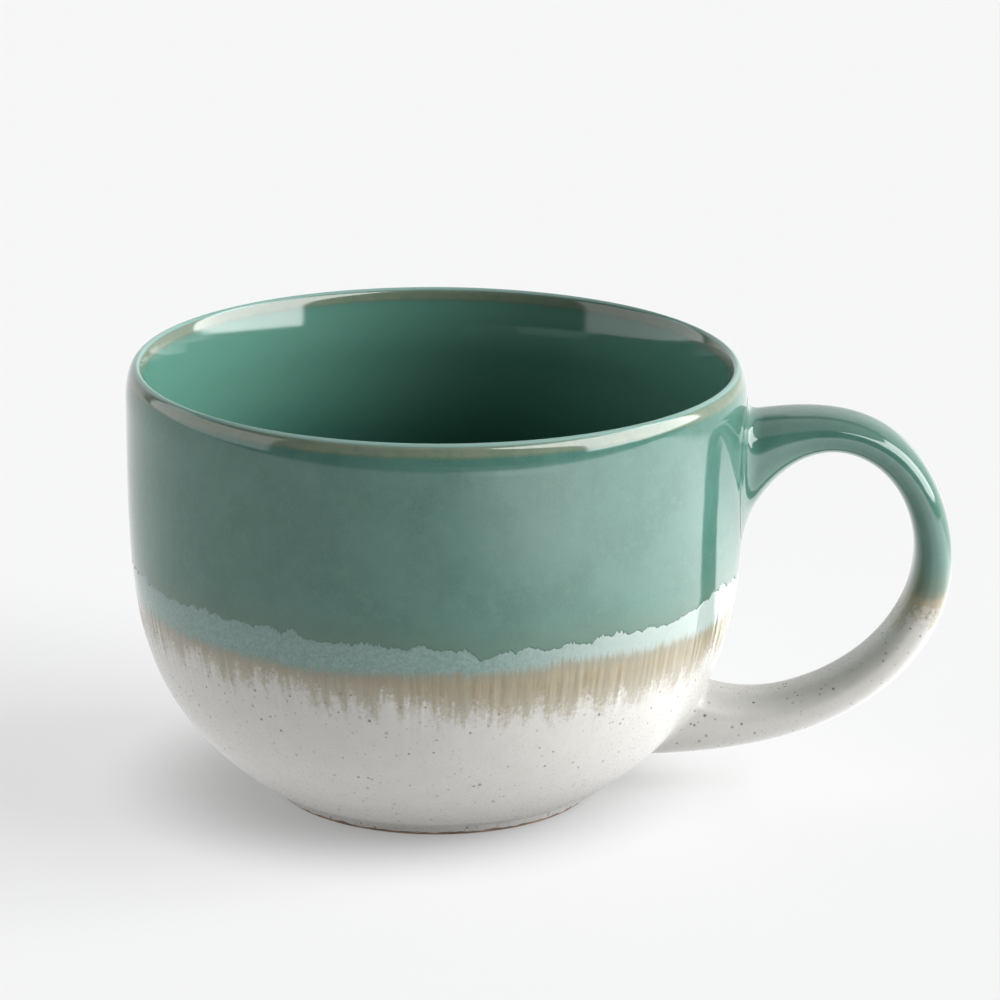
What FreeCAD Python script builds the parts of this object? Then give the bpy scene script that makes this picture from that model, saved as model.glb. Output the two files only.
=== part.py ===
"""Glazed stoneware mug: a thrown bowl on a turned foot ring, with one strap handle.

Millimetres, +Z up. The origin is where the bowl's axis meets the surface that the mug stands on, and
the handle points along +X. Outside sizes are those of the finished, glazed mug: the clay lies one coat
of glaze deeper.
"""
import FreeCAD, Part
import math
import os

Vector = FreeCAD.Vector

# ---- Bowl ----------------------------------------------------------------------------------------
height = 80.0
rim_radius = 56.0
rim_band = 14.0               # the wall is upright from here up, measured down from the rim
wall = 4.8                    # thickness of that upright wall
lip_crown = 2.0               # the lip's highest line, in from the rim's radius
lip_depth = 5.8               # where the outside starts to round in, down from the rim
lip_wall = 3.5                # thickness at the lip's inner shoulder
lip_shoulder = 3.0            # the inner shoulder, down from the rim
lip_lean = 16.0               # degrees that the inside leans outwards there
taper_pull = 5.0              # how gently the inside turns upright below the shoulder
shoulder_radius = 33.75       # where the bowl's curve starts, just outside the foot
shoulder_height = 3.6
shoulder_slope = 36.4         # degrees from level
belly_pull = 25.3             # how far the curve keeps the shoulder's slope
side_pull = 33.0              # how far the curve keeps the rim's upright line
floor_height = 7.5            # inside, at the middle
floor_flatness = 0.555        # share of the inside radius that stays level
side_fullness = 1.13          # share of the inside depth that stays upright

# ---- Foot ring -----------------------------------------------------------------------------------
foot_radius = 29.7
foot_flare = 0.7              # the foot is this much wider where its side meets the crease
foot_side = 1.7               # height of the foot's straight side
crease_reach = 1.25           # the crease's last level stretch, in from the shoulder
foot_width = 3.4              # the ring's width where it stands
recess_height = 2.4           # from the floor to the underside of the bowl
recess_corner = 1.2
foot_edge = 0.3               # worn rounding of the ring's two standing edges
bare_foot = 0.5               # clay left bare above the floor

# ---- Glaze ---------------------------------------------------------------------------------------
glaze = 0.4
lap_top = 44.0                # the green glaze's lower edge on the bowl
lap_bottom = 34.0             # the speckled glaze shows alone below this
handle_lap_top = 40.0
handle_lap_bottom = 35.0

# ---- Handle --------------------------------------------------------------------------------------
handle_reach = 35.8           # from the rim's radius out to the strap's outermost control point
handle_drop = 10.6            # from the rim down to the strap's upper run
handle_low = 10.9             # height of the strap's lower run
slip = 0.5                    # joining slip between the strap and the bowl
strap_fullness = 2.6          # 2 would be an ellipse, more is squarer
sections = 26
section_points = 24

# The strap's line, as control points: how far out (0 at the rim's radius, 1 at the reach), how far up
# (0 at the lower run, 1 at the upper run), then the strap's thickness and width there.
strap_stations = [
    (-0.17, 0.83, 21.0, 20.0),
    (0.18, 0.99, 6.5, 16.0),
    (0.69, 1.00, 7.0, 14.0),
    (1.00, 0.685, 6.3, 14.0),
    (0.95, 0.345, 7.9, 14.0),
    (0.455, 0.06, 7.2, 14.5),
]
# Its lower end runs in above the foot: how far outside the foot's radius and how high, then as above.
lower_stations = [
    (20.1, 10.9, 9.0, 16.0),
    (4.3, 16.5, 22.0, 18.0),
]

# ---- Places that follow --------------------------------------------------------------------------
crown_radius = rim_radius - lip_crown
inside_radius = rim_radius - wall
band_height = height - rim_band
recess_radius = foot_radius - foot_width
handle_high = height - handle_drop
below_floor = -2.0
quarter_round = 0.5523        # where a Bezier's inner poles lie along a quarter of an ellipse
curve_samples = 28


def on_profile(radius, level):
    """A point of the bowl's profile, which lies in the XZ plane."""
    return Vector(radius, 0, level)


def line(start, end):
    return Part.LineSegment(start, end).toShape()


def offset_bezier(poles, inset):
    """The Bezier curve on these poles, moved towards its right-hand side by inset."""
    bezier = Part.BezierCurve()
    bezier.setPoles(poles)
    points = []
    for i in range(curve_samples + 1):
        share = i / curve_samples
        along = bezier.tangent(share)[0]
        sideways = Vector(along.z, 0, -along.x)
        points.append(bezier.value(share) + sideways * inset)
    curve = Part.BSplineCurve()
    curve.interpolate(Points=points, InitialTangent=bezier.tangent(0)[0], FinalTangent=bezier.tangent(1)[0])
    return curve.toShape()


def arc(centre, radius, first, middle, last):
    """An arc of the profile about centre, through three directions in degrees from +X."""
    points = []
    for degrees in (first, middle, last):
        angle = math.radians(degrees)
        points.append(centre + on_profile(radius * math.cos(angle), radius * math.sin(angle)))
    return Part.Arc(*points).toShape()


def ends(edges):
    return edges[0].firstVertex(True).Point, edges[-1].lastVertex(True).Point


def outer_profile(inset):
    """The bowl's outside, from below the floor up to the top of the lip, moved into the wall by inset."""
    foot_slope = Vector(foot_flare, 0, foot_side).normalize()
    foot_top = on_profile(foot_radius + foot_flare, foot_side)
    shoulder = on_profile(shoulder_radius, shoulder_height)
    slope = math.radians(shoulder_slope)
    rising = on_profile(math.cos(slope), math.sin(slope))
    crease_poles = [foot_top, foot_top + foot_slope, shoulder - rising * crease_reach, shoulder]
    bowl_poles = [
        shoulder,
        shoulder + rising * belly_pull,
        on_profile(rim_radius, band_height - side_pull),
        on_profile(rim_radius, band_height),
    ]
    crease = offset_bezier(crease_poles, -inset)
    bowl = offset_bezier(bowl_poles, -inset)
    foot_top_inset = ends([crease])[0]
    foot_start = foot_top_inset + foot_slope * ((below_floor - foot_top_inset.z) / foot_slope.z)
    lip_start = height - lip_depth
    lip_poles = [
        on_profile(rim_radius, lip_start),
        on_profile(rim_radius, lip_start + quarter_round * lip_depth),
        on_profile(crown_radius + quarter_round * lip_crown, height),
        on_profile(crown_radius, height),
    ]
    lip = offset_bezier(lip_poles, -inset)
    return [
        line(foot_start, foot_top_inset),
        crease,
        bowl,
        line(ends([bowl])[1], ends([lip])[0]),
        lip,
    ]


def inner_profile(inset):
    """The bowl's inside, from the top of the lip down to the middle of its floor."""
    depth = band_height - floor_height
    lean = math.radians(lip_lean)
    outwards = on_profile(math.sin(lean), math.cos(lean))
    shoulder = on_profile(rim_radius - lip_wall, height - lip_shoulder)
    crown_poles = [
        on_profile(crown_radius, height),
        on_profile(shoulder.x + outwards.x * lip_shoulder, height),
        shoulder + outwards * (lip_shoulder / 2),
        shoulder,
    ]
    taper_poles = [
        shoulder,
        shoulder - outwards * taper_pull,
        on_profile(inside_radius, band_height + taper_pull / 2),
        on_profile(inside_radius, band_height),
    ]
    bowl_poles = [
        on_profile(inside_radius, band_height),
        on_profile(inside_radius, band_height - side_fullness * depth),
        on_profile(inside_radius * floor_flatness, floor_height),
        on_profile(0, floor_height),
    ]
    edges = []
    for poles in (crown_poles, taper_poles, bowl_poles):
        edges.append(offset_bezier(poles, -inset))
    return edges


def recess_profile(inset):
    """The underside inside the foot ring, from below the floor up and in to the axis."""
    radius = recess_radius + inset
    level = recess_height + inset
    corner = recess_corner + inset
    corner_centre = on_profile(radius - corner, level - corner)
    return [
        line(on_profile(radius, below_floor), on_profile(radius, level - corner)),
        arc(corner_centre, corner, 0, 45, 90),
        line(on_profile(radius - corner, level), on_profile(0, level)),
    ]


def turned(edges):
    """The solid that a closed profile sweeps round the bowl's axis; a gap is closed by a straight line."""
    start, end = ends(edges)
    closing = []
    if (end - start).Length > 1e-6:
        closing = [line(end, start)]
    wire = Part.Wire(edges + closing)
    return solid(Part.Face(wire).revolve(Vector(0, 0, 0), Vector(0, 0, 1), 360))


def solid(shape):
    """The one solid in a shape, or a compound of its solids."""
    solids = [piece for piece in shape.Solids if piece.Volume > 1e-3]
    for piece in solids:
        if not piece.isValid():
            raise ValueError("a solid came out invalid")
    if len(solids) == 1:
        return solids[0]
    if not solids:
        raise ValueError("a cut left nothing")
    return Part.makeCompound(solids)


def reverse_path(edges):
    """The same edges in the other direction."""
    return [edge.reversed() for edge in reversed(edges)]


def coat(profile, outside, inside):
    """The ring between one profile at two insets, closed across its two ends."""
    outer = profile(outside)
    inner = profile(inside)
    outer_start, outer_end = ends(outer)
    inner_start, inner_end = ends(inner)
    wire = Part.Wire(outer + [line(outer_end, inner_end)] + reverse_path(inner) + [line(inner_start, outer_start)])
    return solid(Part.Face(wire).revolve(Vector(0, 0, 0), Vector(0, 0, 1), 360))


def slab(low, high):
    """All space between two levels, wide enough for the whole mug."""
    size = 4 * (rim_radius + handle_reach)
    return Part.makeBox(size, size, high - low, Vector(-size / 2, -size / 2, low))


def filled_bowl(inset):
    """The bowl's outside as a full body, with no inside."""
    edges = outer_profile(inset)
    start, end = ends(edges)
    top = on_profile(0, end.z)
    bottom = on_profile(0, start.z)
    return turned(edges + [line(end, top), line(top, bottom), line(bottom, start)])


def clay_bowl():
    outer = outer_profile(glaze)
    inner = inner_profile(glaze)
    start = ends(outer)[0]
    floor_middle = ends(inner)[1]
    bottom = on_profile(0, start.z)
    body = turned(outer + inner + [line(floor_middle, bottom), line(bottom, start)])
    recess_edges = recess_profile(glaze)
    recess_start, recess_top = ends(recess_edges)
    recess_bottom = on_profile(0, recess_start.z)
    recess = turned(recess_edges + [line(recess_top, recess_bottom), line(recess_bottom, recess_start)])
    body = solid(body.common(slab(0, 2 * height)).cut(recess))
    standing_edges = [edge for edge in body.Edges if edge.BoundBox.ZMax < 1e-4]
    return solid(body.makeFillet(foot_edge, standing_edges))


def strap_poles():
    poles = []
    for out, up, thickness, width in strap_stations:
        x = rim_radius + out * handle_reach
        z = handle_low + up * (handle_high - handle_low)
        poles.append((x, z, thickness, width))
    for beyond_foot, z, thickness, width in lower_stations:
        poles.append((foot_radius + beyond_foot, z, thickness, width))
    return poles


def smooth_curve(poles):
    """A cubic B-spline on its control points, clamped at both ends, with even knots."""
    spans = len(poles) - 3
    knots = [i / spans for i in range(spans + 1)]
    counts = [4] + [1] * (spans - 1) + [4]
    curve = Part.BSplineCurve()
    curve.buildFromPolesMultsKnots(poles, counts, knots, False, 3)
    return curve


def strap(inset):
    """The whole strap, from inside the wall under the rim round to inside the wall above the foot."""
    poles = strap_poles()
    centre = smooth_curve([Vector(x, 0, z) for x, z, thickness, width in poles])
    size = smooth_curve([Vector(thickness, width, 0) for x, z, thickness, width in poles])
    power = 2 / strap_fullness
    wires = []
    for i in range(sections):
        share = i / (sections - 1)
        middle = centre.value(share)
        along = centre.tangent(share)[0]
        outward = Vector(-along.z, 0, along.x)
        half_thickness = size.value(share).x / 2 - inset
        half_width = size.value(share).y / 2 - inset
        points = []
        for k in range(section_points):
            angle = 2 * math.pi * k / section_points
            across = math.copysign(abs(math.cos(angle)) ** power, math.cos(angle))
            over = math.copysign(abs(math.sin(angle)) ** power, math.sin(angle))
            points.append(middle + outward * (half_thickness * over) + Vector(0, half_width * across, 0))
        curve = Part.BSplineCurve()
        curve.interpolate(Points=points, PeriodicFlag=True)
        wires.append(Part.Wire(curve.toShape()))
    return solid(Part.makeLoft(wires, True, False))


def build():
    core_strap = strap(glaze)
    glazed_strap = strap(0)
    clay_outside = filled_bowl(glaze)
    slip_outside = filled_bowl(glaze - slip)
    glazed_outside = filled_bowl(0)

    nodes = {}
    nodes["bowl_body"] = clay_bowl()
    nodes["handle_core"] = solid(core_strap.cut(slip_outside))
    joints = core_strap.common(slip_outside).cut(clay_outside)
    middle_height = (handle_low + handle_high) / 2
    nodes["handle_joint_upper"] = solid(joints.common(slab(middle_height, height)))
    nodes["handle_joint_lower"] = solid(joints.common(slab(0, middle_height)))

    nodes["liner_glaze"] = coat(inner_profile, 0, glaze)
    outside_coat = coat(outer_profile, 0, glaze).cut(core_strap)
    nodes["upper_glaze"] = solid(outside_coat.common(slab(lap_top, 2 * height)))
    nodes["lap_band_glaze"] = solid(outside_coat.common(slab(lap_bottom, lap_top)))
    nodes["base_glaze"] = solid(outside_coat.common(slab(bare_foot, lap_bottom)))
    nodes["recess_glaze"] = solid(coat(recess_profile, 0, glaze).common(slab(bare_foot, height)))

    handle_coat = glazed_strap.cut(core_strap).cut(glazed_outside)
    nodes["handle_upper_glaze"] = solid(handle_coat.common(slab(handle_lap_top, height)))
    nodes["handle_lap_glaze"] = solid(handle_coat.common(slab(handle_lap_bottom, handle_lap_top)))
    nodes["handle_base_glaze"] = solid(handle_coat.common(slab(0, handle_lap_bottom)))
    return nodes


def main():
    os.makedirs("parts", exist_ok=True)
    for name, shape in build().items():
        shape.exportStep("parts/" + name + ".step")
        box = shape.BoundBox
        print(f"{name}: {len(shape.Solids)} solid, {shape.Volume:.1f} mm3,"
              f" z {box.ZMin:.2f} to {box.ZMax:.2f}, x {box.XMin:.2f} to {box.XMax:.2f}")


main()
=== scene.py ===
import math

import bpy
import numpy as np
from mathutils import Matrix, Vector


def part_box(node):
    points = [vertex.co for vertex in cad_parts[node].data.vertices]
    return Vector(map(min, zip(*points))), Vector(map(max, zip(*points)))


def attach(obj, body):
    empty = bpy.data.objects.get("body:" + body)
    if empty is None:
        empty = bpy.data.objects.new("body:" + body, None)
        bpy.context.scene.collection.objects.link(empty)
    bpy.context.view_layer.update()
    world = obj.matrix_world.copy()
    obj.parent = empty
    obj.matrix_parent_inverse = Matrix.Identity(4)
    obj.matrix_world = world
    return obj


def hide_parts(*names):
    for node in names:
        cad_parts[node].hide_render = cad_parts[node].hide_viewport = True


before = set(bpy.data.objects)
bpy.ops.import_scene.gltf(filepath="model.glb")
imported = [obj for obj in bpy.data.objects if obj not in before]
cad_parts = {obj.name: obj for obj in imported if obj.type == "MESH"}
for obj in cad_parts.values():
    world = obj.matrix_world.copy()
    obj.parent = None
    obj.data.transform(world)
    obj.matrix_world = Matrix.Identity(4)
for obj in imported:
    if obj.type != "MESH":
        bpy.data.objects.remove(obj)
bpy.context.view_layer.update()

# Sizes are worked out in millimetres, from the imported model's boxes, and become metres in each mesh.
MM = 0.001

# ---- Sizes taken from the frame --------------------------------------------------------------------
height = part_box("liner_glaze")[1][2] / MM
rim_radius = -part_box("upper_glaze")[0][0] / MM
glaze = (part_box("upper_glaze")[1][1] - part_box("bowl_body")[1][1]) / MM
floor_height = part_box("liner_glaze")[0][2] / MM + glaze
lap_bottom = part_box("lap_band_glaze")[0][2] / MM
bare_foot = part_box("base_glaze")[0][2] / MM
handle_lap_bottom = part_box("handle_lap_glaze")[0][2] / MM

# ---- The bowl's own proportions --------------------------------------------------------------------
rim_band = 14.0
wall = 4.8
lip_crown = 2.0
lip_depth = 5.8
lip_wall = 3.5
lip_shoulder = 3.0
lip_lean = 16.0
taper_pull = 5.0
shoulder_radius = 33.75
shoulder_height = 3.6
shoulder_slope = 36.4
belly_pull = 25.3
side_pull = 33.0
floor_flatness = 0.555
side_fullness = 1.13
foot_radius = 29.7
foot_flare = 0.7
foot_side = 1.7
crease_reach = 1.25
quarter_round = 0.5523

# ---- The strap: how far out, how far up, thickness, width -------------------------------------------
handle_reach = 35.8
handle_drop = 10.6
handle_low = 10.9
strap_fullness = 2.6
strap_stations = [
    (-0.17, 0.83, 21.0, 20.0),
    (0.18, 0.99, 6.5, 16.0),
    (0.69, 1.00, 7.0, 14.0),
    (1.00, 0.685, 6.3, 14.0),
    (0.95, 0.345, 7.9, 14.0),
    (0.455, 0.06, 7.2, 14.5),
]
lower_stations = [
    (20.1, 10.9, 9.0, 16.0),
    (4.3, 16.5, 22.0, 18.0),
]
root_fillet_top = 3.4
root_fillet_low = 2.0
handle_green_end = handle_lap_bottom + 3.2


# ---- Curves ----------------------------------------------------------------------------------------
def bezier(poles, count=120):
    share = np.linspace(0.0, 1.0, count)[:, None]
    a, b, c, d = np.array(poles, dtype=float)
    rest = 1.0 - share
    return rest**3 * a + 3 * rest**2 * share * b + 3 * rest * share**2 * c + share**3 * d


def joined(*runs):
    """The runs end to end, without the points that they share."""
    points = np.concatenate(runs)
    steps = np.linalg.norm(np.diff(points, axis=0), axis=1)
    keep = np.concatenate([[True], steps > 1e-7])
    return points[keep]


class Profile:
    """A line along the bowl's wall, as radius and level, with the clay on its left-hand side."""

    def __init__(self, points):
        self.points = points
        steps = np.linalg.norm(np.diff(points, axis=0), axis=1)
        self.along = np.concatenate([[0.0], np.cumsum(steps)])
        self.length = self.along[-1]
        slope = np.gradient(points, self.along, axis=0)
        slope /= np.linalg.norm(slope, axis=1)[:, None]
        self.out = np.column_stack([slope[:, 1], -slope[:, 0]])

    def at(self, along):
        """Radius and level, and the direction out of the clay, at a distance along the line."""
        radius = np.interp(along, self.along, self.points[:, 0])
        level = np.interp(along, self.along, self.points[:, 1])
        out_radius = np.interp(along, self.along, self.out[:, 0])
        out_level = np.interp(along, self.along, self.out[:, 1])
        return radius, level, out_radius, out_level

    def along_at(self, level):
        return np.interp(level, self.points[:, 1], self.along)

    def radius_at(self, level):
        return np.interp(level, self.points[:, 1], self.points[:, 0])


def outside_profile():
    band_height = height - rim_band
    foot_top = np.array([foot_radius + foot_flare, foot_side])
    foot_slope = np.array([foot_flare, foot_side]) / math.hypot(foot_flare, foot_side)
    foot_start = foot_top - foot_slope * (foot_side - bare_foot) / foot_slope[1]
    shoulder = np.array([shoulder_radius, shoulder_height])
    slope = math.radians(shoulder_slope)
    rising = np.array([math.cos(slope), math.sin(slope)])
    crease = bezier([foot_top, foot_top + foot_slope, shoulder - rising * crease_reach, shoulder], 30)
    bowl = bezier([
        shoulder,
        shoulder + rising * belly_pull,
        (rim_radius, band_height - side_pull),
        (rim_radius, band_height),
    ])
    lip_start = height - lip_depth
    crown = rim_radius - lip_crown
    lip = bezier([
        (rim_radius, lip_start),
        (rim_radius, lip_start + quarter_round * lip_depth),
        (crown + quarter_round * lip_crown, height),
        (crown, height),
    ])
    return Profile(joined([foot_start], crease, bowl, lip))


def inside_profile():
    band_height = height - rim_band
    depth = band_height - floor_height
    inside_radius = rim_radius - wall
    lean = math.radians(lip_lean)
    outwards = np.array([math.sin(lean), math.cos(lean)])
    shoulder = np.array([rim_radius - lip_wall, height - lip_shoulder])
    crown = bezier([
        (rim_radius - lip_crown, height),
        (shoulder[0] + outwards[0] * lip_shoulder, height),
        shoulder + outwards * (lip_shoulder / 2),
        shoulder,
    ])
    taper = bezier([
        shoulder,
        shoulder - outwards * taper_pull,
        (inside_radius, band_height + taper_pull / 2),
        (inside_radius, band_height),
    ])
    bowl = bezier([
        (inside_radius, band_height),
        (inside_radius, band_height - side_fullness * depth),
        (inside_radius * floor_flatness, floor_height),
        (0.0, floor_height),
    ])
    return Profile(joined(crown, taper, bowl))


outside = outside_profile()
inside = inside_profile()


# ---- Meshes ----------------------------------------------------------------------------------------
crease_angle = math.radians(55.0)


def ring_faces(rows, columns, closed):
    """Quads between neighbouring rings of points; closed also joins the last ring to the first."""
    index = np.arange(rows * columns).reshape(rows, columns)
    lower = np.roll(index, -1, axis=0) if closed else index[1:]
    upper = index if closed else index[:-1]
    beside_upper = np.roll(upper, -1, axis=1)
    beside_lower = np.roll(lower, -1, axis=1)
    return np.stack([upper, beside_upper, beside_lower, lower], axis=-1).reshape(-1, 4)


def facing_out(points, faces):
    """The faces, turned over if they face into the closed piece."""
    a, b, c, d = (points[faces[:, k]] for k in range(4))
    volume = (a * np.cross(b, c)).sum() + (a * np.cross(c, d)).sum()
    return faces if volume > 0 else faces[:, ::-1]


def make_piece(name, points, faces, fields, slot, *nodes):
    """A closed piece of glaze in metres that stands for its CAD nodes; fields are numbers per point."""
    mesh = bpy.data.meshes.new(name)
    mesh.from_pydata((points * MM).tolist(), [], [tuple(f) for f in faces])
    mesh.polygons.foreach_set("use_smooth", [True] * len(mesh.polygons))
    for field, values in fields.items():
        stored = mesh.attributes.new(field, "FLOAT", "POINT").data
        stored.foreach_set("value", values.astype(np.float32).ravel())
    mesh.update()
    mesh.set_sharp_from_angle(angle=crease_angle)
    piece = bpy.data.objects.new(name, mesh)
    bpy.context.scene.collection.objects.link(piece)
    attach(piece, "root")
    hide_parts(*nodes)
    return piece


def ripple(angles, fewest, most, seed):
    """Smooth noise round the mug, with between fewest and most waves to the turn and a size near 1."""
    draw = np.random.default_rng(seed)
    waves = np.arange(fewest, most)
    phases = draw.uniform(0.0, 2.0 * math.pi, waves.size)
    heights = draw.uniform(0.4, 1.0, waves.size) / np.sqrt(waves)
    total = (heights * np.cos(np.outer(angles, waves) + phases)).sum(axis=1)
    return total / math.sqrt((heights**2).sum() / 2)


def round_mug(values, angles):
    """A value at each angle, from (degrees from +X, value) pairs, smooth all the way round."""
    degrees = np.array([pair[0] for pair in values])
    levels = np.array([pair[1] for pair in values])
    return np.interp(np.degrees(angles), degrees, levels, period=360.0)


# The green glaze's lower edge, and where the pale band and the tan streaks end, in millimetres up.
green_edge = [
    (-159, 44.8), (-149, 44.2), (-139, 44.8), (-124, 44.8), (-111, 44.1), (-100, 43.9), (-89, 43.8),
    (-84, 43.2), (-81, 41.7), (-78, 42.5), (-61, 42.7), (-55, 43.3), (-40, 42.6), (-30, 43.9),
    (-23, 44.6), (-11, 42.9), (20, 44.4), (48, 43.3), (80, 44.6), (118, 43.4), (150, 44.2), (180, 43.6),
]
pale_edge = [
    (-161, 38.5), (-123, 38.5), (-114, 38.0), (-87, 39.0), (-69, 38.9), (-67, 39.9), (-55, 39.2),
    (-38, 38.4), (-28, 37.8), (30, 38.7), (75, 38.2), (120, 39.0), (160, 38.2),
]
streak_edge = [
    (-150, 34.6), (-121, 33.9), (-108, 33.2), (-99, 32.6), (-84, 30.8), (-63, 30.0), (-41, 30.2),
    (-28, 30.6), (10, 32.5), (60, 31.2), (110, 33.4), (150, 32.0),
]

columns = 1200                # points round the bowl's outside
liner_columns = 480           # and round its inside
lobe_height = 0.62
angles = np.arange(columns) * (2.0 * math.pi / columns) - math.pi
lobes = np.abs(ripple(angles, 16, 80, 3)) ** 0.7
teeth = np.abs(ripple(angles, 120, 500, 4)) ** 0.8
tooth_height = 0.16 + 0.2 * lobes
ragged = lobe_height * (lobes - 0.8) + tooth_height * (teeth - 0.8)
edge_levels = round_mug(green_edge, angles) + ragged
pale_levels = round_mug(pale_edge, angles)
streak_levels = round_mug(streak_edge, angles)
seam_levels = lap_bottom + 0.25 * ripple(angles, 3, 40, 5)
foot_levels = bare_foot + 0.12 + 0.10 * ripple(angles, 5, 90, 6)


ring_swell = 0.012
turn_swell = 0.010


def swell(along, around):
    """The slight unevenness left by the maker's hands, in millimetres."""
    rings = np.sin(along * 0.83 + 0.6 * np.sin(around + 1.0)) * np.sin(along * 0.21 + 2.0 * around)
    return ring_swell * rings + turn_swell * np.sin(3 * around + along * 0.05)


def wall_points(profile, along, offset):
    """Points of the wall at distances along the profile, one column to each angle, moved out by offset."""
    radius, level, out_radius, out_level = profile.at(along)
    radius = radius + out_radius * offset
    level = level + out_level * offset
    around = np.broadcast_to(angles if along.shape[1] == columns else turn(along.shape[1]), along.shape)
    return np.stack([radius * np.cos(around), radius * np.sin(around), level], axis=-1)


def turn(count):
    return np.arange(count) * (2.0 * math.pi / count) - math.pi


def lap_fields(level):
    """How far each point is above the green edge, the pale band's end and the streaks' end."""
    return {
        "over_green_edge": level - edge_levels,
        "over_pale_edge": level - pale_levels,
        "over_streak_edge": level - streak_levels,
    }


def coat_of_wall(name, along_rows, relief, slot, *nodes):
    """A closed coat: rows along the outside, one value to each angle, and the same span a glaze deeper."""
    rows = np.array(along_rows)
    around = np.broadcast_to(angles, rows.shape)
    front = wall_points(outside, rows, relief(rows) + swell(rows, around))
    picks = np.unique(np.linspace(0, len(rows) - 1, 9).round().astype(int))[::-1]
    back = wall_points(outside, rows[picks], -glaze + 0 * rows[picks])
    grid = np.concatenate([front, back])
    levels = grid[:, :, 2]
    points = grid.reshape(-1, 3)
    faces = facing_out(points, ring_faces(len(grid), columns, True))
    return make_piece(name, points, faces, lap_fields(levels), slot, *nodes)


def spaced(start, end, shares):
    """Rows between two rows of distances, at these shares of the way."""
    return [start + (end - start) * share for share in shares]


everywhere = np.zeros(columns)
edge_along = outside.along_at(edge_levels)
seam_along = outside.along_at(seam_levels)
foot_along = outside.along_at(foot_levels)
crown_along = outside.length + everywhere
lip_along = outside.along_at(height - lip_depth - 1.0) + everywhere
collar_along = outside.along_at(height - rim_band - 4.0) + everywhere
roll_height, roll_width, roll_reach = 0.06, 0.16, 4.0
run_height, run_reach = 0.03, 5.0
edge_tuck, band_tuck, foot_tuck = 0.02, 0.05, 0.16
near_edge = np.array([6.0, 4.6, 3.5, 2.6, 1.9, 1.4, 1.0, 0.72, 0.5, 0.34, 0.22, 0.13, 0.06, 0.0])


def green_relief(along):
    """The green glaze ends in a low rounded roll."""
    distance = np.maximum(along - edge_along, 0.0)
    roll = 1.0 - np.exp(-((distance / roll_width) ** 0.8))
    fade = np.exp(-((distance / roll_reach) ** 2))
    return roll_height * roll * fade - edge_tuck * np.exp(-distance / 0.1)


def streak_relief(along):
    """Runs of glaze stand a hair proud where they end, and the pale band's top tucks under the roll."""
    below = edge_along - along
    near_seam = np.exp(-(((along - seam_along) / run_reach) ** 2))
    runs = run_height * ripple(angles, 90, 300, 8) * near_seam
    return runs - band_tuck * np.exp(-np.maximum(below, 0.0) / 0.3)


green_rows = [crown_along, crown_along - 0.03]
green_rows += spaced(crown_along - 0.2, lip_along, np.linspace(0, 1, 30))
green_rows += spaced(lip_along, collar_along, np.linspace(0, 1, 9)[1:])
green_rows += spaced(collar_along, edge_along + near_edge[0] + 1.4, np.linspace(0, 1, 8)[1:])
green_rows += [edge_along + step for step in near_edge]
green_coat = coat_of_wall("green_glaze_outside", green_rows, green_relief, "green_glaze", "upper_glaze")

band_rows = [edge_along - step for step in (0.0, 0.05, 0.14, 0.3, 0.55, 0.9, 1.3)]
band_rows += spaced(edge_along - 1.8, seam_along + 0.05, np.linspace(0, 1, 30))
band_rows += [seam_along]
lap_coat = coat_of_wall("lap_band_outside", band_rows, streak_relief, "lap_glaze", "lap_band_glaze")

shoulder_along = outside.along_at(shoulder_height + 3.0) + everywhere
base_rows = [seam_along, seam_along - 0.05]
base_rows += spaced(seam_along - 0.4, shoulder_along, np.linspace(0, 1, 30))
base_rows += spaced(shoulder_along, foot_along + 0.25, np.linspace(0, 1, 24)[1:])
base_rows += [foot_along + 0.12, foot_along + 0.04, foot_along]


def foot_relief(along):
    """The glaze stops above the foot in a soft rounded edge."""
    distance = np.maximum(along - foot_along, 0.0)
    return streak_relief(along) - foot_tuck * np.exp(-distance / 0.09)


base_coat = coat_of_wall("speckled_glaze_outside", base_rows, foot_relief, "speckled_glaze", "base_glaze")


def liner():
    """The glaze inside the bowl, as one closed skin from the middle of the floor up to the crown."""
    around = turn(liner_columns)
    lip = np.concatenate([[0.0, 0.03], np.linspace(0.25, 12.0, 34), np.linspace(13.0, 40.0, 28)])
    rest = np.linspace(41.0, inside.length - 0.6, 44)
    rows = np.concatenate([lip, rest])[:, None] + np.zeros(liner_columns)
    grid_around = np.broadcast_to(around, rows.shape)
    fade = np.clip((inside.length - rows) / 12.0, 0.0, 1.0)
    front = wall_points(inside, rows, swell(rows, grid_around) * fade)
    picks = np.arange(0, len(rows), 7)
    back = wall_points(inside, rows[picks], -glaze + 0 * rows[picks])
    grid = np.concatenate([front[::-1], back])
    middle = np.array([[0.0, 0.0, floor_height], [0.0, 0.0, floor_height - glaze]])
    points = np.concatenate([grid.reshape(-1, 3), middle])
    faces = ring_faces(len(grid), liner_columns, False)
    first = np.arange(liner_columns)
    last = first + (len(grid) - 1) * liner_columns
    top, bottom = len(points) - 2, len(points) - 1
    beside = np.roll(first, -1)
    cap_top = [(top, beside[k], first[k]) for k in range(liner_columns)]
    cap_bottom = [(bottom, last[k], np.roll(last, -1)[k]) for k in range(liner_columns)]
    outward = facing_out(points, faces)
    if outward is not faces:
        cap_top = [face[::-1] for face in cap_top]
        cap_bottom = [face[::-1] for face in cap_bottom]
    all_faces = [tuple(face) for face in outward] + cap_top + cap_bottom
    return make_piece("green_glaze_inside", points, all_faces, {}, "green_glaze", "liner_glaze")


inside_coat = liner()


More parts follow.
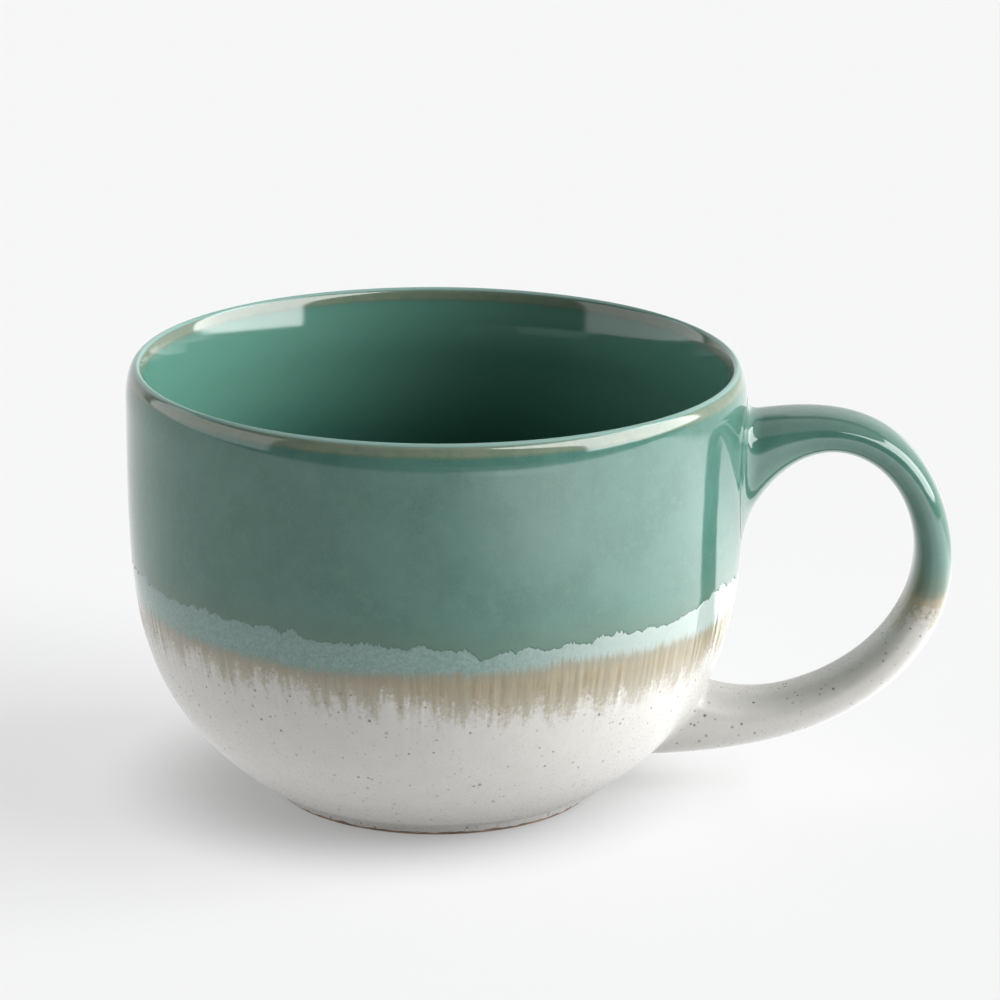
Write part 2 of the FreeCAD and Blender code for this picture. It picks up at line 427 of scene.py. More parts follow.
# ---- Handle ----------------------------------------------------------------------------------------
def strap_poles():
    handle_high = height - handle_drop
    poles = []
    for out, up, thickness, width in strap_stations:
        x = rim_radius + out * handle_reach
        z = handle_low + up * (handle_high - handle_low)
        poles.append((x, z, thickness, width))
    for beyond_foot, z, thickness, width in lower_stations:
        poles.append((foot_radius + beyond_foot, z, thickness, width))
    return np.array(poles)


def spline_weights(share, poles):
    """The weight of each control point of a clamped cubic B-spline with even knots."""
    spans = poles - 3
    knots = np.concatenate([[0.0] * 3, np.linspace(0.0, 1.0, spans + 1), [1.0] * 3])
    share = np.clip(share, 0.0, 1.0 - 1e-9)
    weights = [((knots[i] <= share) & (share < knots[i + 1])).astype(float) for i in range(len(knots) - 1)]
    for degree in range(1, 4):
        raised = []
        for i in range(len(knots) - 1 - degree):
            total = np.zeros_like(share)
            if knots[i + degree] > knots[i]:
                total = total + (share - knots[i]) / (knots[i + degree] - knots[i]) * weights[i]
            if knots[i + degree + 1] > knots[i + 1]:
                span = knots[i + degree + 1] - knots[i + 1]
                total = total + (knots[i + degree + 1] - share) / span * weights[i + 1]
            raised.append(total)
        weights = raised
    return np.stack(weights, axis=-1)


strap_columns = 128
strap_turn = np.arange(strap_columns) * (2.0 * math.pi / strap_columns)
power = 2.0 / strap_fullness
strap_across = np.sign(np.cos(strap_turn)) * np.abs(np.cos(strap_turn)) ** power
strap_over = np.sign(np.sin(strap_turn)) * np.abs(np.sin(strap_turn)) ** power
control = strap_poles()


def strap_points(share):
    """Points of the strap's skin at shares of its length, from inside the rim's wall to above the foot."""
    middle = spline_weights(share, len(control)) @ control
    step = 1e-4
    ahead = spline_weights(share + step, len(control)) @ control
    behind = spline_weights(share - step, len(control)) @ control
    along = (ahead - behind)[..., :2]
    along = along / np.linalg.norm(along, axis=-1)[..., None]
    half_thickness = middle[..., 2] / 2
    half_width = middle[..., 3] / 2
    x = middle[..., 0] - along[..., 1] * half_thickness * strap_over
    z = middle[..., 1] + along[..., 0] * half_thickness * strap_over
    y = half_width * strap_across
    return np.stack([x, y, z], axis=-1)


def above_wall(points):
    """How far points are outside the bowl's skin, measured level."""
    radius = np.hypot(points[..., 0], points[..., 1])
    return radius - outside.radius_at(points[..., 2])


def on_wall(points, lift):
    """The nearest places at the same direction from the axis on the bowl's skin, lift above it."""
    radius, level, out_radius, out_level = outside.at(outside.along_at(points[..., 2]))
    radius = radius + out_radius * lift
    around = np.arctan2(points[..., 1], points[..., 0])
    return np.stack([radius * np.cos(around), radius * np.sin(around), level + out_level * lift], axis=-1)


def wall_normals(points):
    radius, level, out_radius, out_level = outside.at(outside.along_at(points[..., 2]))
    around = np.arctan2(points[..., 1], points[..., 0])
    return np.stack([out_radius * np.cos(around), out_radius * np.sin(around), out_level], axis=-1)


def share_where(target, start, end, rising):
    """For each column, the share between start and end where target(share) passes zero."""
    low = np.full(strap_columns, start)
    high = np.full(strap_columns, end)
    for _ in range(40):
        middle = (low + high) / 2
        past = target(middle) > 0
        if not rising:
            past = ~past
        high = np.where(past, middle, high)
        low = np.where(past, low, middle)
    return (low + high) / 2


def root(crossing, inwards, reach):
    """Rows of a fillet at one end of the strap, from the wall out to the strap, and where they meet it."""
    step = 1e-3
    corner = strap_points(crossing[None, :])[0]
    speed = np.linalg.norm(strap_points(crossing[None, :] + step)[0] - corner, axis=-1) / step
    meeting = crossing + inwards * reach / speed
    on_strap = strap_points(meeting[None, :])[0]
    tangent = np.roll(corner, -1, axis=0) - np.roll(corner, 1, axis=0)
    away = np.cross(tangent, wall_normals(corner))
    away /= np.linalg.norm(away, axis=-1)[:, None]
    if (away * (corner - corner.mean(axis=0))).sum() < 0:
        away = -away
    foot = on_wall(corner + away * reach, 0.05)
    rows = []
    for share in np.linspace(0.0, 1.0, 15)[:-1]:
        rest = 1.0 - share
        rows.append(rest**2 * foot + 2 * rest * share * corner + share**2 * on_strap)
    return np.array(rows), meeting


def centre_share(level):
    """The share along the outer run where the strap's centre line is at this level."""
    low, high = 0.45, 0.8
    for _ in range(40):
        middle = (low + high) / 2
        z = (spline_weights(np.array([middle]), len(control)) @ control)[0, 1]
        low, high = (middle, high) if z > level else (low, middle)
    return (low + high) / 2


def strap_grid():
    """The whole glazed strap as rings of points, from the rim's wall round to the wall above the foot."""
    leaves = share_where(lambda s: above_wall(strap_points(s[None, :])[0]), 0.0, 0.45, True)
    returns = share_where(lambda s: above_wall(strap_points(s[None, :])[0]), 0.7, 1.0, False)
    top_rows, top_meeting = root(leaves, 1.0, root_fillet_top)
    low_rows, low_meeting = root(returns, -1.0, root_fillet_low)
    level_start, level_end = top_meeting.max() + 0.04, low_meeting.min() - 0.04
    lap_start, lap_end = centre_share(handle_green_end + 2.0), centre_share(handle_green_end - 3.0)
    shares = spaced(top_meeting, level_start + 0 * top_meeting, np.linspace(0, 1, 26))
    shares += spaced(level_start, lap_start, np.linspace(0, 1, 80)[1:])
    first_lap = len(top_rows) + len(shares) - 1
    shares += spaced(lap_start, lap_end, np.linspace(0, 1, 16)[1:])
    last_lap = len(top_rows) + len(shares) - 1
    shares += spaced(lap_end, level_end, np.linspace(0, 1, 70)[1:])
    shares += spaced(level_end, low_meeting, np.linspace(0, 1, 26)[1:])
    skin = strap_points(np.array([share + np.zeros(strap_columns) for share in shares]))
    return np.concatenate([top_rows, skin, low_rows[::-1]]), first_lap, last_lap


def strap_coat(name, rings, start, end, slot, *nodes):
    """A closed coat over the rings from start to end, one glaze thick."""
    down = np.gradient(rings, axis=0)
    across = np.roll(rings, -1, axis=1) - np.roll(rings, 1, axis=1)
    normal = np.cross(across, down)
    normal /= np.linalg.norm(normal, axis=-1)[..., None]
    middle = rings.mean(axis=1, keepdims=True)
    if (normal * (rings - middle)).sum() < 0:
        normal = -normal
    front = rings[start:end + 1]
    picks = np.unique(np.concatenate([np.arange(start, end + 1, 4), [end]]))[::-1]
    back = rings[picks] - normal[picks] * glaze
    both = np.concatenate([front, back])
    points = both.reshape(-1, 3)
    faces = facing_out(points, ring_faces(len(both), strap_columns, True))
    corner = (np.abs(strap_across) * np.abs(strap_over)) ** 0.5
    thin = 0.30 * np.clip((corner - 0.5) / 0.45, 0.0, 1.0)
    thin = thin + 0.45 * np.clip((handle_green_end + 6.0 - both[..., 2]) / 5.0, 0.0, 1.0)
    fields = {
        "over_green_edge": both[..., 2] - handle_green_end,
        "over_pale_edge": -20.0 + 0 * both[..., 2],
        "over_streak_edge": both[..., 2] - handle_green_end + 5.5,
        "thin_glaze": thin,
    }
    return make_piece(name, points, faces, fields, slot, *nodes)


rings, first_lap, last_lap = strap_grid()
handle_green = strap_coat(
    "handle_green_glaze", rings, 0, first_lap, "green_glaze", "handle_upper_glaze"
)
handle_lap = strap_coat(
    "handle_lap_band", rings, first_lap, last_lap, "lap_glaze", "handle_lap_glaze"
)
handle_base = strap_coat(
    "handle_speckled_glaze", rings, last_lap, len(rings) - 1, "speckled_glaze", "handle_base_glaze"
)


# ---- Node work -------------------------------------------------------------------------------------
class Bench:
    """Adds nodes to one tree. An input is a number, a colour, a vector or another node's output."""

    def __init__(self, tree):
        self.tree = tree

    def node(self, kind, inputs=None, **settings):
        made = self.tree.nodes.new("ShaderNode" + kind)
        for setting, value in settings.items():
            setattr(made, setting, value)
        for socket, value in (inputs or {}).items():
            self.feed(made.inputs[socket], value)
        return made

    def feed(self, socket, value):
        if isinstance(value, bpy.types.NodeSocket):
            self.tree.links.new(value, socket)
        else:
            socket.default_value = value

    def math(self, operation, *values):
        return self.node("Math", dict(enumerate(values)), operation=operation).outputs[0]

    def add(self, first, second):
        return self.math("ADD", first, second)

    def times(self, first, second):
        return self.math("MULTIPLY", first, second)

    def vector(self, operation, *values):
        return self.node("VectorMath", dict(enumerate(values)), operation=operation).outputs[0]

    def scaled(self, vector, factor):
        made = self.node("VectorMath", {0: vector}, operation="SCALE")
        self.feed(made.inputs["Scale"], factor)
        return made.outputs[0]

    def noise(self, place, scale, detail=2.0, roughness=0.5):
        inputs = {"Vector": place, "Scale": scale, "Detail": detail, "Roughness": roughness}
        return self.node("TexNoise", inputs).outputs["Fac"]

    def step(self, value, low, high, to_low=0.0, to_high=1.0):
        """to_low where value is at or under low, rising smoothly to to_high at high."""
        inputs = {"Value": value, "From Min": low, "From Max": high, "To Min": to_low, "To Max": to_high}
        made = self.node("MapRange", inputs, interpolation_type="SMOOTHSTEP")
        return made.outputs[0]

    def mix(self, share, first, second, blend="MIX"):
        made = self.node("Mix", {0: share, 6: first, 7: second}, data_type="RGBA", blend_type=blend)
        return made.outputs[2]

    def field(self, name):
        return self.node("Attribute", attribute_name=name).outputs["Fac"]


def new_group(name, inputs, outputs):
    """A shader node group; inputs are (name, kind, value), outputs (name, kind)."""
    tree = bpy.data.node_groups.new(name, "ShaderNodeTree")
    for label, kind, value in inputs:
        socket = tree.interface.new_socket(label, in_out="INPUT", socket_type="NodeSocket" + kind)
        if value is not None:
            socket.default_value = value
    for label, kind in outputs:
        tree.interface.new_socket(label, in_out="OUTPUT", socket_type="NodeSocket" + kind)
    bench = Bench(tree)
    taken = tree.nodes.new("NodeGroupInput").outputs
    given = tree.nodes.new("NodeGroupOutput").inputs
    return bench, taken, given


def use_group(bench, name, **values):
    made = bench.node("Group", node_tree=bpy.data.node_groups[name])
    for label, value in values.items():
        bench.feed(made.inputs[label.replace("_", " ")], value)
    return made.outputs


def build_place():
    """Where a point is, in millimetres, and the same drawn out down the wall, for runs and streaks."""
    bench, taken, given = new_group("Place on the mug", [("Stretch", "Float", 0.12)], [
        ("Place", "Vector"), ("Streak", "Vector"), ("Level", "Float"),
    ])
    position = bench.node("TexCoord").outputs["Object"]
    place = bench.scaled(position, 1000.0)
    parts = bench.node("SeparateXYZ", {0: place}).outputs
    level_xy = bench.node("CombineXYZ", {0: parts[0], 1: parts[1]}).outputs[0]
    drawn = bench.scaled(bench.vector("NORMALIZE", level_xy), 50.0)
    down = bench.node("CombineXYZ", {2: bench.times(parts[2], taken["Stretch"])}).outputs[0]
    bench.feed(given["Place"], place)
    bench.feed(given["Streak"], bench.vector("ADD", drawn, down))
    bench.feed(given["Level"], parts[2])


def build_specks():
    """Small round iron specks: a mask, from the chance that a cell holds one and the speck's radius."""
    bench, taken, given = new_group("Iron specks", [
        ("Place", "Vector", None), ("Per mm", "Float", 0.4),
        ("Chance", "Float", 0.3), ("Radius", "Float", 0.12),
    ], [("Mask", "Float")])
    cells = bench.node("TexVoronoi", {"Vector": taken["Place"], "Scale": taken["Per mm"]})
    draws = bench.node("SeparateColor", {0: cells.outputs["Color"]}).outputs
    wobble = bench.noise(taken["Place"], 3.0, 2.0)
    distance = bench.add(cells.outputs["Distance"], bench.step(wobble, 0.3, 0.7, -0.02, 0.02))
    radius = bench.times(taken["Radius"], bench.step(draws[1], 0.0, 1.0, 0.35, 1.0))
    inner = bench.times(radius, 0.45)
    spot = bench.step(distance, inner, radius, 1.0, 0.0)
    held = bench.math("LESS_THAN", draws[0], taken["Chance"])
    strength = bench.times(held, bench.step(draws[2], 0.0, 1.0, 0.3, 1.0))
    bench.feed(given["Mask"], bench.times(spot, strength))


def build_green():
    """The green glaze: clouds, a fine grain, and olive and tan where it is thin over an edge."""
    bench, taken, given = new_group("Green glaze", [
        ("Place", "Vector", None), ("Thin", "Float", 0.0), ("Pooled", "Float", 0.0),
        ("Deep", "Float", 0.0), ("Crest", "Float", 0.0),
    ], [("Colour", "Color"), ("Height", "Float")])
    place = taken["Place"]
    clouds = bench.noise(place, 0.09, 3.0, 0.55)
    blotches = bench.noise(place, 0.45, 3.0, 0.6)
    grain = bench.noise(place, 2.6, 2.0, 0.6)
    body = bench.mix(bench.step(clouds, 0.35, 0.65), green_deep, green_body)
    body = bench.mix(bench.step(blotches, 0.45, 0.8, 0.0, 0.45), body, green_pale)
    body = bench.mix(bench.step(grain, 0.35, 0.75, 0.0, 0.22), body, green_grain)
    body = bench.mix(taken["Pooled"], body, green_pool)
    # Painted shade: this darkens the green towards a near-black green where the bowl's inside lies in
    # shade.
    body = bench.mix(taken["Deep"], body, green_painted_shade)
    uneven = bench.times(taken["Thin"], bench.step(blotches, 0.25, 0.75, 0.75, 1.25))
    olive = bench.step(uneven, 0.05, 0.5, 0.0, 0.8)
    tan = bench.step(uneven, 0.4, 0.9, 0.0, 0.55)
    body = bench.mix(olive, body, green_olive)
    body = bench.mix(tan, body, green_break)
    # Painted highlight: this lightens the top of the lip towards a pale mint.
    body = bench.mix(taken["Crest"], body, green_painted_highlight)
    bench.feed(given["Colour"], body)
    peel = bench.noise(place, 0.8, 2.0, 0.5)
    height_of_skin = bench.add(bench.times(peel, 0.7), bench.times(grain, 0.3))
    bench.feed(given["Height"], height_of_skin)


def build_lap():
    """The meeting of the glazes, from green down through a pale band and tan runs to speckled white."""
    bench, taken, given = new_group("Lapped glazes", [
        ("Place", "Vector", None), ("Streak", "Vector", None), ("Green", "Color", None),
        ("Over green edge", "Float", 10.0), ("Over pale edge", "Float", 10.0),
        ("Over streak edge", "Float", 10.0), ("Softness", "Float", 0.02), ("Level", "Float", 20.0),
    ], [("Colour", "Color"), ("Roughness", "Float"), ("Height", "Float")])
    place, streak = taken["Place"], taken["Streak"]
    fine_runs = bench.noise(streak, 2.3, 4.0, 0.65)
    broad_runs = bench.noise(streak, 0.42, 2.0, 0.5)
    grain = bench.noise(place, 2.4, 2.0, 0.6)
    frost = bench.noise(place, 1.1, 3.0, 0.7)

    white = bench.mix(bench.step(bench.noise(place, 0.3, 3.0), 0.35, 0.7), white_body, white_warm)
    white = bench.mix(bench.step(grain, 0.4, 0.8, 0.0, 0.35), white, white_grain)
    faint = use_group(bench, "Iron specks", Place=place, Per_mm=0.95, Chance=0.8, Radius=0.30)["Mask"]
    dark = use_group(bench, "Iron specks", Place=place, Per_mm=0.64, Chance=0.95, Radius=0.26)["Mask"]
    white = bench.mix(bench.times(faint, 0.4), white, speck_faint)
    white = bench.mix(bench.times(dark, 0.85), white, speck_dark)
    near_foot = bench.step(taken["Level"], 1.0, 3.0, 1.0, 0.0)
    rust = bench.times(near_foot, bench.step(bench.noise(place, 0.7, 3.0, 0.7), 0.58, 0.72))
    white = bench.mix(rust, white, foot_rust)

    drawn_out = bench.step(fine_runs, 0.2, 0.8, -1.7, 1.7)
    dripping = bench.step(broad_runs, 0.3, 0.75, -1.2, 2.8)
    crumbled = bench.step(frost, 0.3, 0.7, -1.3, 1.3)
    reach = bench.add(taken["Over streak edge"], bench.add(drawn_out, dripping))
    reach = bench.add(reach, bench.add(crumbled, 0.9))
    tan_cover = bench.step(reach, -0.8, 4.0)
    rich = bench.step(taken["Over streak edge"], 0.0, 6.0, 0.72, 1.0)
    tan = bench.mix(bench.step(fine_runs, 0.2, 0.8), tan_body, tan_pale)
    tan = bench.mix(bench.step(broad_runs, 0.45, 0.8, 0.0, 0.6), tan, tan_grey)
    tan = bench.mix(bench.step(taken["Over pale edge"], -2.6, -0.6, 0.0, 0.6), tan, tan_grey)
    colour = bench.mix(bench.times(tan_cover, rich), white, tan)

    pale_reach = bench.add(taken["Over pale edge"], bench.step(fine_runs, 0.25, 0.75, -0.9, 0.9))
    pale_cover = bench.step(pale_reach, -0.9, 1.1)
    pale = bench.mix(bench.step(frost, 0.35, 0.7), pale_body, pale_frost)
    pale = bench.mix(bench.step(grain, 0.45, 0.7, 0.0, 0.6), pale, pale_deep)
    # Painted sheen: the pale band is painted up to three quarters of the way to a whiter tone from x = 2 mm
    # to 44 mm, the side the key light falls on.
    toward_key_side = bench.node("SeparateXYZ", {0: place}).outputs[0]
    pale = bench.mix(bench.step(toward_key_side, 2.0, 44.0, 0.0, 0.75), pale, pale_painted_sheen)
    colour = bench.mix(pale_cover, colour, pale)

    soft = taken["Softness"]
    wander = bench.times(bench.math("SUBTRACT", fine_runs, 0.5), bench.times(soft, 3.0))
    green_reach = bench.add(taken["Over green edge"], wander)
    green_cover = bench.step(green_reach, bench.times(soft, -1.0), soft)
    rim = bench.step(taken["Over green edge"], 0.05, 0.6, 0.35, 0.0)
    near = bench.step(taken["Over green edge"], 0.3, 6.0, 0.45, 0.0)
    green = bench.mix(near, taken["Green"], green_low)
    green = bench.mix(rim, green, green_rim)
    colour = bench.mix(green_cover, colour, green)
    bench.feed(given["Colour"], colour)

    satin = bench.step(grain, 0.3, 0.7, white_roughness[0], white_roughness[1])
    run_gloss = bench.times(tan_cover, bench.step(taken["Over streak edge"], 0.0, 4.0))
    roughness = bench.node("Mix", {0: run_gloss, 2: satin, 3: run_roughness}).outputs[0]
    gloss_cover = bench.math("MAXIMUM", pale_cover, green_cover)
    roughness = bench.node("Mix", {0: gloss_cover, 2: roughness, 3: green_roughness}).outputs[0]
    bench.feed(given["Roughness"], roughness)
    pits = bench.times(dark, -0.5)
    low_relief = bench.add(pits, bench.times(grain, 0.35))
    bench.feed(given["Height"], bench.add(low_relief, bench.times(frost, 0.4)))


green_deep = (0.060, 0.158, 0.126, 1)
green_body = (0.075, 0.182, 0.148, 1)
green_pale = (0.098, 0.210, 0.172, 1)
green_grain = (0.115, 0.225, 0.185, 1)
green_pool = (0.098, 0.240, 0.186, 1)
# The next colour is painted shade, for the inside deep in the bowl.
green_painted_shade = (0.020, 0.092, 0.068, 1)
# The next colour is a painted highlight, for the top of the lip.
green_painted_highlight = (0.240, 0.400, 0.350, 1)
green_olive = (0.125, 0.180, 0.125, 1)
green_break = (0.215, 0.245, 0.172, 1)
green_low = (0.098, 0.162, 0.112, 1)
green_rim = (0.045, 0.110, 0.080, 1)
pale_body = (0.180, 0.280, 0.250, 1)
pale_frost = (0.225, 0.335, 0.310, 1)
pale_deep = (0.110, 0.210, 0.190, 1)
# The next colour is painted sheen on the pale band.
pale_painted_sheen = (0.400, 0.460, 0.430, 1)
tan_body = (0.245, 0.206, 0.126, 1)
tan_pale = (0.355, 0.310, 0.210, 1)
tan_grey = (0.240, 0.235, 0.175, 1)
white_body = (0.560, 0.550, 0.520, 1)
white_warm = (0.590, 0.575, 0.545, 1)
white_grain = (0.500, 0.485, 0.455, 1)
speck_faint = (0.340, 0.300, 0.250, 1)
speck_dark = (0.110, 0.085, 0.065, 1)
foot_rust = (0.300, 0.190, 0.110, 1)
clay_body = (0.330, 0.225, 0.145, 1)
clay_dark = (0.200, 0.130, 0.085, 1)
slip_body = (0.360, 0.270, 0.190, 1)
white_roughness = (0.26, 0.38)
run_roughness = 0.14
green_roughness = 0.07

build_place()
build_specks()
build_green()
build_lap()


def new_material(name):
    material = bpy.data.materials.new(name)
    material.use_nodes = True
    tree = material.node_tree
    tree.nodes.clear()
    bench = Bench(tree)
    shader = bench.node("BsdfPrincipled")
    shader.inputs["IOR"].default_value = 1.5
    ending = bench.node("OutputMaterial")
    tree.links.new(shader.outputs[0], ending.inputs["Surface"])
    return material, bench, shader


def relief(bench, shader, height_socket, depth):
    """Fine relief in the surface, depth millimetres high."""
    bump = bench.node("Bump", {"Height": height_socket})
    bump.inputs["Strength"].default_value = 1.0
    bump.inputs["Distance"].default_value = depth * MM
    bench.feed(shader.inputs["Normal"], bump.outputs["Normal"])


def thin_lip(bench, level):
    """Glaze runs thin just under the crown of the lip and gathers again on top of it."""
    under = bench.step(level, height - 2.8, height - 1.6, 0.0, 0.8)
    return bench.times(under, bench.step(level, height - 0.7, height - 0.3, 1.0, 0.2))


def painted_crest_highlight(bench, level):
    """A painted highlight: the palest line, along the top of the lip, for the bright surroundings reflected
    there.
    """
    return bench.step(level, height - 0.60, height - 0.20, 0.0, 0.9)


def lapped_material(name, softness, depth):
    """Glaze on the outside of the bowl or on the handle, coloured by where its point lies in the lap."""
    material, bench, shader = new_material(name)
    place = use_group(bench, "Place on the mug", Stretch=0.10)
    thin = bench.math("MAXIMUM", bench.field("thin_glaze"), thin_lip(bench, place["Level"]))
    # Painted highlight along the top of the lip.
    crest_highlight = painted_crest_highlight(bench, place["Level"])
    green = use_group(bench, "Green glaze", Place=place["Place"], Thin=thin, Pooled=0.0, Crest=crest_highlight)
    lapped = use_group(
        bench, "Lapped glazes", Place=place["Place"], Streak=place["Streak"], Green=green["Colour"],
        Over_green_edge=bench.field("over_green_edge"), Over_pale_edge=bench.field("over_pale_edge"),
        Over_streak_edge=bench.field("over_streak_edge"), Softness=softness, Level=place["Level"],
    )
    bench.feed(shader.inputs["Base Color"], lapped["Colour"])
    bench.feed(shader.inputs["Roughness"], lapped["Roughness"])
    relief(bench, shader, bench.add(lapped["Height"], green["Height"]), depth)
    return material


def liner_material():
    """The green glaze inside: thin over the lip, a little deeper in colour where it has pooled, and painted
    darker lower down in the bowl as painted shade.
    """
    material, bench, shader = new_material("green_glaze_inside")
    place = use_group(bench, "Place on the mug", Stretch=0.10)
    lip = thin_lip(bench, place["Level"])
    pool = bench.step(place["Level"], height - 4.0, height, 0.9, 0.0)
    # Painted shade: the inside is painted darker from 65 mm down to 44 mm, for the shade deep in the bowl.
    painted_depth_shade = bench.step(place["Level"], 44.0, 65.0, 0.95, 0.0)
    # Painted highlight along the top of the lip.
    crest_highlight = painted_crest_highlight(bench, place["Level"])
    green = use_group(
        bench, "Green glaze", Place=place["Place"], Thin=lip, Pooled=pool, Deep=painted_depth_shade, Crest=crest_highlight
    )
    bench.feed(shader.inputs["Base Color"], green["Colour"])
    bench.feed(shader.inputs["Roughness"], bench.step(green["Height"], 0.3, 0.7, 0.06, 0.08))
    relief(bench, shader, green["Height"], gloss_relief)
    return material


def clay_material(name, body, shade, depth):
    """Bare fired clay: gritty, with darker grog and a slightly toasted tone."""
    material, bench, shader = new_material(name)
    place = use_group(bench, "Place on the mug", Stretch=1.0)
    grit = bench.noise(place["Place"], 2.2, 4.0, 0.7)
    toast = bench.noise(place["Place"], 0.25, 3.0, 0.5)
    colour = bench.mix(bench.step(toast, 0.35, 0.7), body, shade)
    colour = bench.mix(bench.step(grit, 0.5, 0.75, 0.0, 0.6), colour, shade)
    grog = use_group(bench, "Iron specks", Place=place["Place"], Per_mm=0.8, Chance=0.4, Radius=0.2)["Mask"]
    colour = bench.mix(grog, colour, speck_dark)
    bench.feed(shader.inputs["Base Color"], colour)
    bench.feed(shader.inputs["Roughness"], bench.step(grit, 0.2, 0.8, 0.7, 0.95))
    relief(bench, shader, grit, depth)
    return material


def underside_material():
    """The speckled glaze under the foot, where it has neither lap nor runs."""
    material, bench, shader = new_material("speckled_glaze_recess")
    place = use_group(bench, "Place on the mug", Stretch=1.0)
    lapped = use_group(
        bench, "Lapped glazes", Place=place["Place"], Streak=place["Place"], Green=green_body,
        Over_green_edge=-50.0, Over_pale_edge=-50.0, Over_streak_edge=-50.0, Softness=0.1, Level=20.0,
    )
    bench.feed(shader.inputs["Base Color"], lapped["Colour"])
    bench.feed(shader.inputs["Roughness"], lapped["Roughness"])
    relief(bench, shader, lapped["Height"], 0.01)
    return material


def finish_with(piece, material):
    piece.data.materials.clear()
    piece.data.materials.append(material)


def refinish_node(node, material):
    """Gives a CAD node a material in its object's slots and leaves its mesh as it is."""
    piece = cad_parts[node]
    if not piece.material_slots:
        piece.data.materials.append(material)
    for own in piece.material_slots:
        own.link = "OBJECT"
        own.material = material


crisp_lap, soft_lap = 0.02, 1.5          # how far the green fades into the band under it
gloss_relief, band_relief, satin_relief = 0.004, 0.012, 0.014
for piece, name, softness, depth in (
    (green_coat, "green_glaze", crisp_lap, gloss_relief),
    (lap_coat, "lap_band_glaze", crisp_lap, band_relief),
    (base_coat, "speckled_glaze", crisp_lap, satin_relief),
    (handle_green, "handle_green_glaze", soft_lap, gloss_relief),
    (handle_lap, "handle_lap_glaze", soft_lap, 0.008),
    (handle_base, "handle_speckled_glaze", soft_lap, satin_relief),
):
    finish_with(piece, lapped_material(name, softness, depth))
finish_with(inside_coat, liner_material())

clay = clay_material("stoneware_clay", clay_body, clay_dark, 0.05)
joining_slip = clay_material("joining_slip", slip_body, clay_body, 0.03)
for node, material in (
    ("bowl_body", clay),
    ("handle_core", clay),
    ("handle_joint_upper", joining_slip),
    ("handle_joint_lower", joining_slip),
    ("recess_glaze", underside_material()),
):
    refinish_node(node, material)


# ---- Studio ----------------------------------------------------------------------------------------
paper = 0.913
floor_reach = 8.0


def build_floor():
    """A pale floor. Where it is seen it takes shadows and has a painted contact shadow round the foot; it
    lights the glaze from below with a glow that has painted shade near the foot.
    """
    corners = [(-floor_reach, -floor_reach, 0), (floor_reach, -floor_reach, 0),
               (floor_reach, floor_reach, 0), (-floor_reach, floor_reach, 0)]
    mesh = bpy.data.meshes.new("floor")
    mesh.from_pydata(corners, [], [(0, 1, 2, 3)])
    floor = bpy.data.objects.new("floor", mesh)
    bpy.context.scene.collection.objects.link(floor)
    material = bpy.data.materials.new("floor")
    material.use_nodes = True
    tree = material.node_tree
    tree.nodes.clear()
    bench = Bench(tree)
    taking_shade = bench.node("BsdfDiffuse", {"Color": (floor_albedo, floor_albedo, floor_albedo, 1)})
    position = bench.node("TexCoord").outputs["Object"]
    parts = bench.node("SeparateXYZ", {0: position}).outputs
    from_axis = bench.node("VectorMath", {0: position}, operation="LENGTH").outputs["Value"]
    from_shade = bench.vector("ADD", position, (0.007, 0.0, 0.0))
    from_shade = bench.node("VectorMath", {0: from_shade}, operation="LENGTH").outputs["Value"]
    # Painted shadow: the floor's glow is dimmed to under half round the foot, centred 7 mm left of the
    # axis.
    painted_contact_shadow = bench.step(from_shade, 0.026, 0.058, floor_even * 0.46, floor_even)
    even = bench.node("Emission", {"Color": (1.0, 1.0, 1.0, 1), "Strength": painted_contact_shadow})
    seen = bench.node("AddShader", {0: taking_shade.outputs[0], 1: even.outputs[0]})
    # Painted shade and light in the glow that lights the glaze and is mirrored in it: dimmed near the foot,
    # dimmed on the left where the mug's shadow falls, brighter to the right of the mug as a painted pool of
    # light, and fading far in front.
    near_foot = bench.step(from_axis, 0.027, 0.060, 0.36, 1.0)
    forward = bench.step(parts[1], -0.75, -0.35, 0.15, 1.0)
    beside = bench.times(
        bench.step(parts[0], 0.0, 0.22), bench.step(parts[1], 0.03, 0.16, 1.0, 0.12)
    )
    mirrored = bench.times(bench.add(1.02, bench.times(beside, 2.8)), forward)
    mirrored = bench.times(mirrored, bench.step(from_axis, 0.024, 0.05, 0.3, 1.0))
    bounced = bench.times(bench.step(parts[0], -0.12, 0.02, 0.64, 1.04), near_foot)
    bounced = bench.times(bounced, bench.step(parts[0], 0.05, 0.14, 1.0, 1.55))
    path = bench.node("LightPath").outputs
    strength = bench.node("Mix", {0: path["Is Glossy Ray"], 2: bounced, 3: mirrored}).outputs[0]
    lit = bench.node("Emission", {"Color": (1.0, 1.0, 1.0, 1), "Strength": strength})
    chosen = bench.node("MixShader", {0: path["Is Camera Ray"], 1: lit.outputs[0], 2: seen.outputs[0]})
    bench.node("OutputMaterial", {"Surface": chosen.outputs[0]})
    mesh.materials.append(material)


